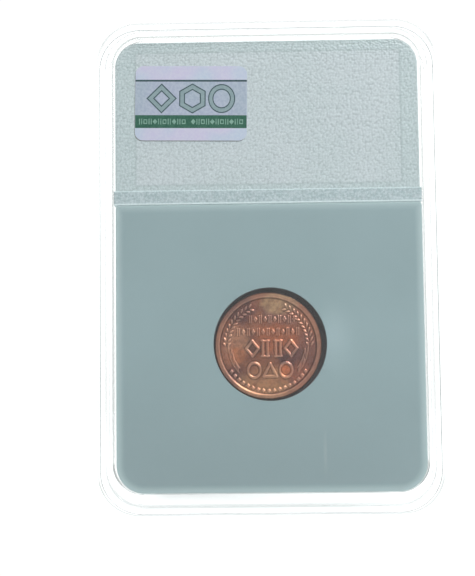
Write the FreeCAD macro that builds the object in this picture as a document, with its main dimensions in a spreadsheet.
import FreeCAD, Part
import math
import os

import Sketcher
from FreeCAD import Vector

# Graded coin slab: a sealed two-part clear case holding a coin insert, the coin, a label
# holder and its card, with a tamper seal stuck on the back window.
# Frame: +Z up along the slab's height, X across it, the back window faces -Y.
# The origin is on the bottom edge, in the middle of the width and of the thickness.

SIZES = [
    # the clear case
    ("case_width", 60.9, "outer width of both half shells"),
    ("case_height", 88.0, "outer height of both half shells"),
    ("shell_depth", 3.8, "depth of one half shell, from the parting plane to its rim"),
    ("case_corner", 7.4, "radius of the case's four corners"),
    ("rim_width", 1.6, "width of the raised rim round each window"),
    ("window_corner", 6.8, "radius of each window's four corners"),
    ("rim_rise", 0.6, "height of the rim above its window"),
    ("rim_round", 0.15, "round on the rim's outer edge"),
    ("rim_inner_round", 0.12, "round on the rim's inner edge"),
    # the hollow that the two shells make
    ("cavity_width", 55.9, "width of the hollow"),
    ("cavity_height", 82.35, "height of the hollow"),
    ("cavity_bottom", 3.65, "height of the hollow's lower wall"),
    ("cavity_corner", 5.4, "corner radius of the hollow"),
    ("cavity_half", 1.75, "depth of the hollow in one shell"),
    # the tongue and groove that is welded all round
    ("weld_inset", 0.7, "outer edge of the case to the outer wall of the groove"),
    ("weld_width", 0.8, "width of the groove"),
    ("weld_depth", 0.8, "depth of the groove"),
    ("weld_gap", 0.05, "clearance of the tongue on each side and at its tip"),
    ("seam_gap", 0.015, "parting plane to each shell's edge, where the weld shows as a seam"),
    # the soft insert that grips the coin
    ("insert_width", 54.8, "width of the coin insert"),
    ("insert_height", 51.25, "height of the coin insert"),
    ("insert_side", 0.15, "insert's middle to the right of the case's"),
    ("insert_bottom", 3.8, "height of the insert's lower edge"),
    ("insert_corner", 5.0, "radius of the insert's two lower corners"),
    ("insert_top_corner", 0.6, "radius of the insert's two upper corners"),
    ("insert_half", 1.65, "half the thickness of the insert"),
    ("insert_round", 0.2, "round on the edges of the insert's two faces"),
    ("hole_radius", 10.05, "radius of the wide mouths of the coin hole"),
    ("hole_side", 0.15, "coin hole's centre to the right of the middle"),
    ("hole_level", 29.9, "height of the coin hole's centre"),
    ("hole_depth", 1.3, "depth of each wide mouth"),
    ("hole_round", 0.12, "round on the edge of each mouth"),
    ("seat_gap", 0.07, "clearance between the coin's edge and the lip that holds it"),
    # the coin
    ("coin_radius", 9.525, "radius of the coin"),
    ("coin_half", 0.775, "half the coin's thickness over its rims"),
    ("coin_rim", 0.75, "width of the coin's raised rim"),
    ("coin_sink", 0.2, "depth of the coin's fields below its rims"),
    ("coin_bevel", 0.12, "bevel on the coin's rim"),
    ("coin_side", -0.2, "coin's centre to the right of the middle"),
    ("coin_level", 29.66, "height of the coin's centre"),
    # the label holder, with a rail across its foot
    ("holder_bottom", 55.25, "height of the rail's lower edge"),
    ("holder_height", 29.6, "height of the label holder, rail included"),
    ("holder_width", 54.6, "width of the label holder above its rail"),
    ("holder_corner", 4.5, "radius of the holder's two upper corners"),
    ("holder_base_corner", 0.3, "radius of the holder's and the rail's square corners"),
    ("rail_height", 2.35, "height of the rail"),
    ("rail_width", 55.2, "width of the rail"),
    ("rail_step", 0.2, "step from the rail's back face in to the panel's"),
    # the label card in its recess
    ("card_width", 47.8, "width of the label card"),
    ("card_height", 24.3, "height of the label card"),
    ("card_corner", 0.6, "corner radius of the label card"),
    ("card_thickness", 0.25, "thickness of the label card"),
    ("card_side", 0.25, "card's centre to the right of the middle"),
    ("card_bottom", 58.6, "height of the card's lower edge"),
    ("card_gap", 0.1, "clearance round the card in its recess"),
    ("recess_depth", 0.35, "depth of the card's recess in the holder's front face"),
    # the tamper seal on the back window
    ("seal_width", 20.1, "width of the tamper seal"),
    ("seal_height", 13.6, "height of the tamper seal"),
    ("seal_corner", 1.5, "corner radius of the tamper seal"),
    ("seal_thickness", 0.12, "thickness of the tamper seal"),
    ("seal_side", -13.5, "seal's centre to the right of the middle"),
    ("seal_level", 73.3, "height of the seal's centre"),
    ("seal_tilt", 1.0, "degrees the seal leans to the right"),
]

doc = FreeCAD.newDocument("coin_slab")
sheet = doc.addObject("Spreadsheet::Sheet", "sizes")
for row, (alias, value, meaning) in enumerate(SIZES, start=1):
    sheet.set(f"A{row}", alias)
    sheet.set(f"B{row}", str(value))
    sheet.set(f"C{row}", meaning)
    sheet.setAlias(f"B{row}", alias)
doc.recompute()

POINT_TOLERANCE = 1e-4
ROOT_POINT = (-1, 1)
START, END = 1, 2


def size(alias):
    """The number that the sheet holds under this alias."""
    return float(sheet.get(alias))


def new_body(label):
    body = doc.addObject("PartDesign::Body", label)
    body.Label = label
    return body


def new_sketch(body, name, offset="0"):
    """A sketch on the body's XZ plane, moved by the offset towards -Y (the back)."""
    sketch = body.newObject("Sketcher::SketchObject", name)
    plane = next(item for item in body.Origin.OriginFeatures if item.Role == "XZ_Plane")
    sketch.AttachmentSupport = [(plane, "")]
    sketch.MapMode = "FlatFace"
    sketch.setExpression("AttachmentOffset.Base.z", offset)
    return sketch


def constrain(sketch, name, expression, kind, *references):
    """Add a dimension whose value is an expression of the sheet's cells."""
    index = sketch.addConstraint(Sketcher.Constraint(kind, *references))
    sketch.renameConstraint(index, name)
    sketch.setExpression(f"Constraints.{name}", expression)


def draw_rounded_rectangle(sketch, prefix, width, height, lower_radius, upper_radius,
                           bottom, side="0"):
    """A rectangle with round corners: every size is an expression of the sheet's cells.
    bottom is its lower edge's height, side how far its middle is to the right."""
    first = sketch.GeometryCount
    span, rise, low_r, high_r, low, middle = evaluate(
        width, height, lower_radius, upper_radius, bottom, side)
    left, right, top = middle - span / 2, middle + span / 2, low + rise
    edges = [
        ((left + low_r, low), (right - low_r, low)),
        ((right, low + low_r), (right, top - high_r)),
        ((right - high_r, top), (left + high_r, top)),
        ((left, top - high_r), (left, low + low_r)),
    ]
    for start, end in edges:
        sketch.addGeometry(Part.LineSegment(Vector(*start, 0), Vector(*end, 0)))
    corners = [
        ((right - low_r, low + low_r), low_r),
        ((right - high_r, top - high_r), high_r),
        ((left + high_r, top - high_r), high_r),
        ((left + low_r, low + low_r), low_r),
    ]
    quarter_turn = math.pi / 2
    for turn, (centre, radius) in enumerate(corners):
        circle = Part.Circle(Vector(*centre, 0), Vector(0, 0, 1), radius)
        start_angle = (turn - 1) * quarter_turn
        end_angle = start_angle + quarter_turn
        sketch.addGeometry(Part.ArcOfCircle(circle, start_angle, end_angle))
    for turn in range(4):
        line, arc, next_line = first + turn, first + 4 + turn, first + (turn + 1) % 4
        sketch.addConstraint(Sketcher.Constraint("Tangent", line, END, arc, START))
        sketch.addConstraint(Sketcher.Constraint("Tangent", arc, END, next_line, START))
        direction = "Horizontal" if turn % 2 == 0 else "Vertical"
        sketch.addConstraint(Sketcher.Constraint(direction, line))
    bottom_line, right_line, left_line = first, first + 1, first + 3
    lower_arcs, upper_arcs = (first + 4, first + 7), (first + 5, first + 6)
    sketch.addConstraint(Sketcher.Constraint("Equal", *lower_arcs))
    sketch.addConstraint(Sketcher.Constraint("Equal", *upper_arcs))
    constrain(sketch, prefix + "_lower_radius", lower_radius, "Radius", lower_arcs[0], low_r)
    constrain(sketch, prefix + "_upper_radius", upper_radius, "Radius", upper_arcs[0], high_r)
    constrain(sketch, prefix + "_width", width, "DistanceX",
              left_line, START, right_line, START, span)
    constrain(sketch, prefix + "_height", height, "DistanceY",
              bottom_line, START, first + 2, START, rise)
    constrain(sketch, prefix + "_bottom", bottom, "DistanceY",
              *ROOT_POINT, bottom_line, START, low)
    constrain(sketch, prefix + "_right", f"({side}) + ({width}) / 2", "DistanceX",
              *ROOT_POINT, right_line, START, right)


def draw_circle(sketch, radius, side, level):
    """A circle whose radius and centre are expressions of the sheet's cells."""
    radius_now, side_now, level_now = evaluate(radius, side, level)
    centre = Vector(side_now, level_now, 0)
    sketch.addGeometry(Part.Circle(centre, Vector(0, 0, 1), radius_now))
    constrain(sketch, "radius", radius, "Radius", 0, radius_now)
    centre_point = 3
    if side_now == 0 and level_now == 0:
        sketch.addConstraint(Sketcher.Constraint("Coincident", 0, centre_point, *ROOT_POINT))
    else:
        constrain(sketch, "side", side, "DistanceX", *ROOT_POINT, 0, centre_point, side_now)
        constrain(sketch, "level", level, "DistanceY", *ROOT_POINT, 0, centre_point, level_now)


def evaluate(*expressions):
    """The numbers that expressions of the sheet's cells have now."""
    return [float(sheet.evalExpression(expression)) for expression in expressions]


def pad(body, name, sketch, length, towards_front=False):
    """Add material from the sketch: towards the back, unless towards_front."""
    feature = body.newObject("PartDesign::Pad", name)
    feature.Profile = sketch
    feature.Reversed = towards_front
    feature.setExpression("Length", length)
    doc.recompute()
    return feature


def pocket(body, name, sketch, length, towards_front=True):
    """Cut material away from the sketch, and make sure that something was cut."""
    volume_before = body.Shape.Volume
    feature = body.newObject("PartDesign::Pocket", name)
    feature.Profile = sketch
    feature.Reversed = not towards_front
    feature.setExpression("Length", length)
    doc.recompute()
    if body.Shape.Volume >= volume_before - POINT_TOLERANCE:
        raise RuntimeError(f"{name} cuts nothing from {body.Label}")
    return feature


def fillet(body, name, radius, picks_edge):
    """Round every edge of the body's last feature that picks_edge says yes to."""
    base = body.Tip
    names = [f"Edge{number}" for number, edge in enumerate(base.Shape.Edges, start=1)
             if picks_edge(edge)]
    if not names:
        raise RuntimeError(f"{name} finds no edge on {body.Label}")
    feature = body.newObject("PartDesign::Fillet", name)
    feature.Base = (base, names)
    feature.setExpression("Radius", radius)
    doc.recompute()
    return feature


def lies_at_depth(edge, depth):
    """True if the whole edge lies in the plane Y = depth."""
    box = edge.BoundBox
    return abs(box.YMin - depth) < POINT_TOLERANCE and abs(box.YMax - depth) < POINT_TOLERANCE


def lies_within(edge, half_width, low, high):
    """True if the whole edge lies in or on an upright rectangle about the Z axis."""
    box = edge.BoundBox
    reach = POINT_TOLERANCE
    return (box.XMax < half_width + reach and box.XMin > -half_width - reach
            and box.ZMax < high + reach and box.ZMin > low - reach)


def make_shell(label, faces_front):
    """One clear half shell: a rimmed window, half of the hollow, and the groove (back
    shell) or the tongue (front shell) of the weld that closes the case all round."""
    body = new_body(label)
    face_sign = "-1" if faces_front else "1"
    outline = new_sketch(body, label + "_outline", f"{face_sign} * sizes.seam_gap")
    draw_rounded_rectangle(outline, "case", "sizes.case_width", "sizes.case_height",
                           "sizes.case_corner", "sizes.case_corner", "0")
    pad(body, label + "_block", outline, "sizes.shell_depth - sizes.seam_gap",
        towards_front=faces_front)

    window = new_sketch(body, label + "_window_outline", f"{face_sign} * sizes.shell_depth")
    draw_rounded_rectangle(window, "window",
                           "sizes.case_width - 2 * sizes.rim_width",
                           "sizes.case_height - 2 * sizes.rim_width",
                           "sizes.window_corner", "sizes.window_corner",
                           "sizes.rim_width")
    pocket(body, label + "_window", window, "sizes.rim_rise", towards_front=not faces_front)

    face_depth = size("shell_depth") * (1 if faces_front else -1)
    window_half = size("case_width") / 2 - size("rim_width")
    window_low, window_high = size("rim_width"), size("case_height") - size("rim_width")

    def is_inner_rim_edge(edge):
        return (lies_at_depth(edge, face_depth)
                and lies_within(edge, window_half, window_low, window_high))

    def is_outer_rim_edge(edge):
        return lies_at_depth(edge, face_depth) and not is_inner_rim_edge(edge)

    fillet(body, label + "_rim_round", "sizes.rim_round", is_outer_rim_edge)
    fillet(body, label + "_rim_inner_round", "sizes.rim_inner_round", is_inner_rim_edge)

    cavity = new_sketch(body, label + "_cavity_outline")
    draw_rounded_rectangle(cavity, "cavity", "sizes.cavity_width", "sizes.cavity_height",
                           "sizes.cavity_corner", "sizes.cavity_corner", "sizes.cavity_bottom")
    pocket(body, label + "_cavity", cavity, "sizes.cavity_half", towards_front=faces_front)

    ring = new_sketch(body, label + "_weld_outline", "-sizes.seam_gap" if faces_front else "0")
    gap = "sizes.weld_gap" if faces_front else "0"
    for side_name, inset in (("outer", f"sizes.weld_inset + {gap}"),
                             ("inner", f"sizes.weld_inset + sizes.weld_width - {gap}")):
        draw_rounded_rectangle(ring, side_name,
                               f"sizes.case_width - 2 * ({inset})",
                               f"sizes.case_height - 2 * ({inset})",
                               f"sizes.case_corner - ({inset})",
                               f"sizes.case_corner - ({inset})",
                               inset)
    if faces_front:
        pad(body, "weld_tongue", ring, "sizes.weld_depth - sizes.weld_gap + sizes.seam_gap")
    else:
        pocket(body, "weld_groove", ring, "sizes.weld_depth", towards_front=False)
    return body


def make_coin_insert():
    """The soft opaque block: a lip in its thickness grips the coin's edge, and a wider
    mouth on each side leaves the coin's faces free."""
    body = new_body("coin_insert")
    outline = new_sketch(body, "insert_outline", "-sizes.insert_half")
    draw_rounded_rectangle(outline, "insert", "sizes.insert_width", "sizes.insert_height",
                           "sizes.insert_corner", "sizes.insert_top_corner",
                           "sizes.insert_bottom", "sizes.insert_side")
    pad(body, "insert_block", outline, "2 * sizes.insert_half")

    seat = new_sketch(body, "seat_outline", "-sizes.insert_half")
    draw_circle(seat, "sizes.coin_radius + sizes.seat_gap", "sizes.coin_side",
                "sizes.coin_level")
    pocket(body, "coin_seat", seat, "2 * sizes.insert_half", towards_front=False)
    for side_name, offset, towards_front in (("back", "sizes.insert_half", True),
                                             ("front", "-sizes.insert_half", False)):
        mouth = new_sketch(body, side_name + "_mouth_outline", offset)
        draw_circle(mouth, "sizes.hole_radius", "sizes.hole_side", "sizes.hole_level")
        pocket(body, side_name + "_mouth", mouth, "sizes.hole_depth", towards_front)

    half_width = abs(size("hole_side")) + size("hole_radius")
    low = size("hole_level") - size("hole_radius")
    high = size("hole_level") + size("hole_radius")

    def is_face_edge(edge):
        return (lies_at_depth(edge, size("insert_half"))
                or lies_at_depth(edge, -size("insert_half")))

    def is_mouth_edge(edge):
        return is_face_edge(edge) and lies_within(edge, half_width, low, high)

    def is_outline_edge(edge):
        return is_face_edge(edge) and not is_mouth_edge(edge)

    fillet(body, "mouth_round", "sizes.hole_round", is_mouth_edge)
    fillet(body, "insert_round", "sizes.insert_round", is_outline_edge)
    return body


def make_coin():
    """The struck disc, with a raised rim round a sunken field on each face."""
    body = new_body("coin")
    outline = new_sketch(body, "coin_outline", "-sizes.coin_half")
    draw_circle(outline, "sizes.coin_radius", "0", "0")
    pad(body, "coin_blank", outline, "2 * sizes.coin_half")
    for side_name, offset, towards_front in (("back", "sizes.coin_half", True),
                                             ("front", "-sizes.coin_half", False)):
        field = new_sketch(body, side_name + "_field_outline", offset)
        draw_circle(field, "sizes.coin_radius - sizes.coin_rim", "0", "0")
        pocket(body, side_name + "_field", field, "sizes.coin_sink", towards_front)

    def is_rim_edge(edge):
        on_face = (lies_at_depth(edge, size("coin_half"))
                   or lies_at_depth(edge, -size("coin_half")))
        return on_face and edge.BoundBox.XMax > size("coin_radius") - POINT_TOLERANCE

    fillet(body, "rim_bevel", "sizes.coin_bevel", is_rim_edge)
    body.setExpression("Placement.Base.x", "sizes.coin_side")
    body.setExpression("Placement.Base.z", "sizes.coin_level")
    return body


def make_label_holder():
    """The translucent panel over the coin insert: a thicker rail crosses its foot, and
    the label card lies in a shallow recess in its front face."""
    body = new_body("label_holder")
    panel = new_sketch(body, "panel_outline", "-sizes.insert_half")
    draw_rounded_rectangle(panel, "panel", "sizes.holder_width", "sizes.holder_height",
                           "sizes.holder_base_corner", "sizes.holder_corner",
                           "sizes.holder_bottom")
    pad(body, "panel", panel, "2 * sizes.insert_half - sizes.rail_step")
    rail = new_sketch(body, "rail_outline", "-sizes.insert_half")
    draw_rounded_rectangle(rail, "rail", "sizes.rail_width", "sizes.rail_height",
                           "sizes.holder_base_corner", "sizes.holder_base_corner",
                           "sizes.holder_bottom")
    pad(body, "rail", rail, "2 * sizes.insert_half")
    recess = new_sketch(body, "recess_outline", "-sizes.insert_half")
    draw_rounded_rectangle(recess, "recess",
                           "sizes.card_width + 2 * sizes.card_gap",
                           "sizes.card_height + 2 * sizes.card_gap",
                           "sizes.card_corner", "sizes.card_corner",
                           "sizes.card_bottom - sizes.card_gap", "sizes.card_side")
    pocket(body, "card_recess", recess, "sizes.recess_depth", towards_front=False)
    return body


def make_label_card():
    """The printed card, flat against the floor of its recess."""
    body = new_body("label_card")
    card = new_sketch(body, "card_outline", "sizes.recess_depth - sizes.insert_half")
    draw_rounded_rectangle(card, "card", "sizes.card_width", "sizes.card_height",
                           "sizes.card_corner", "sizes.card_corner",
                           "sizes.card_bottom", "sizes.card_side")
    pad(body, "card", card, "sizes.card_thickness", towards_front=True)
    return body


def make_security_seal():
    """The tamper seal: a thin film stuck on the outside of the back window."""
    body = new_body("security_seal")
    outline = new_sketch(body, "seal_outline")
    draw_rounded_rectangle(outline, "seal", "sizes.seal_width", "sizes.seal_height",
                           "sizes.seal_corner", "sizes.seal_corner",
                           "-sizes.seal_height / 2")
    pad(body, "seal_film", outline, "sizes.seal_thickness")
    body.setExpression("Placement.Base.x", "sizes.seal_side")
    body.setExpression("Placement.Base.y", "sizes.rim_rise - sizes.shell_depth")
    body.setExpression("Placement.Base.z", "sizes.seal_level")
    body.Placement.Rotation = FreeCAD.Rotation(Vector(0, 1, 0), size("seal_tilt"))
    return body


def check_document():
    """Stop if any object of the document has failed to compute."""
    for item in doc.Objects:
        if "Invalid" in item.State or "Error" in item.State:
            raise RuntimeError(f"{item.Label} failed: {item.State}")


def export(bodies):
    """Write each sub-part's shape to parts/LABEL.step, after checking all of them."""
    for body in bodies:
        if body.Shape.isNull() or not body.Shape.isValid() or len(body.Shape.Solids) != 1:
            raise RuntimeError(f"{body.Label} is not one valid solid")
    os.makedirs("parts", exist_ok=True)
    for body in bodies:
        body.Shape.exportStep(os.path.join("parts", body.Label + ".step"))
        box = body.Shape.optimalBoundingBox(False)
        print(f"{body.Label}: {body.Shape.Volume:.1f} mm3,"
              f" X {box.XMin:.2f} {box.XMax:.2f},"
              f" Y {box.YMin:.2f} {box.YMax:.2f},"
              f" Z {box.ZMin:.2f} {box.ZMax:.2f}")


sub_parts = [
    make_shell("back_shell", faces_front=False),
    make_shell("front_shell", faces_front=True),
    make_coin_insert(),
    make_coin(),
    make_label_holder(),
    make_label_card(),
    make_security_seal(),
]
doc.recompute()
check_document()
export(sub_parts)
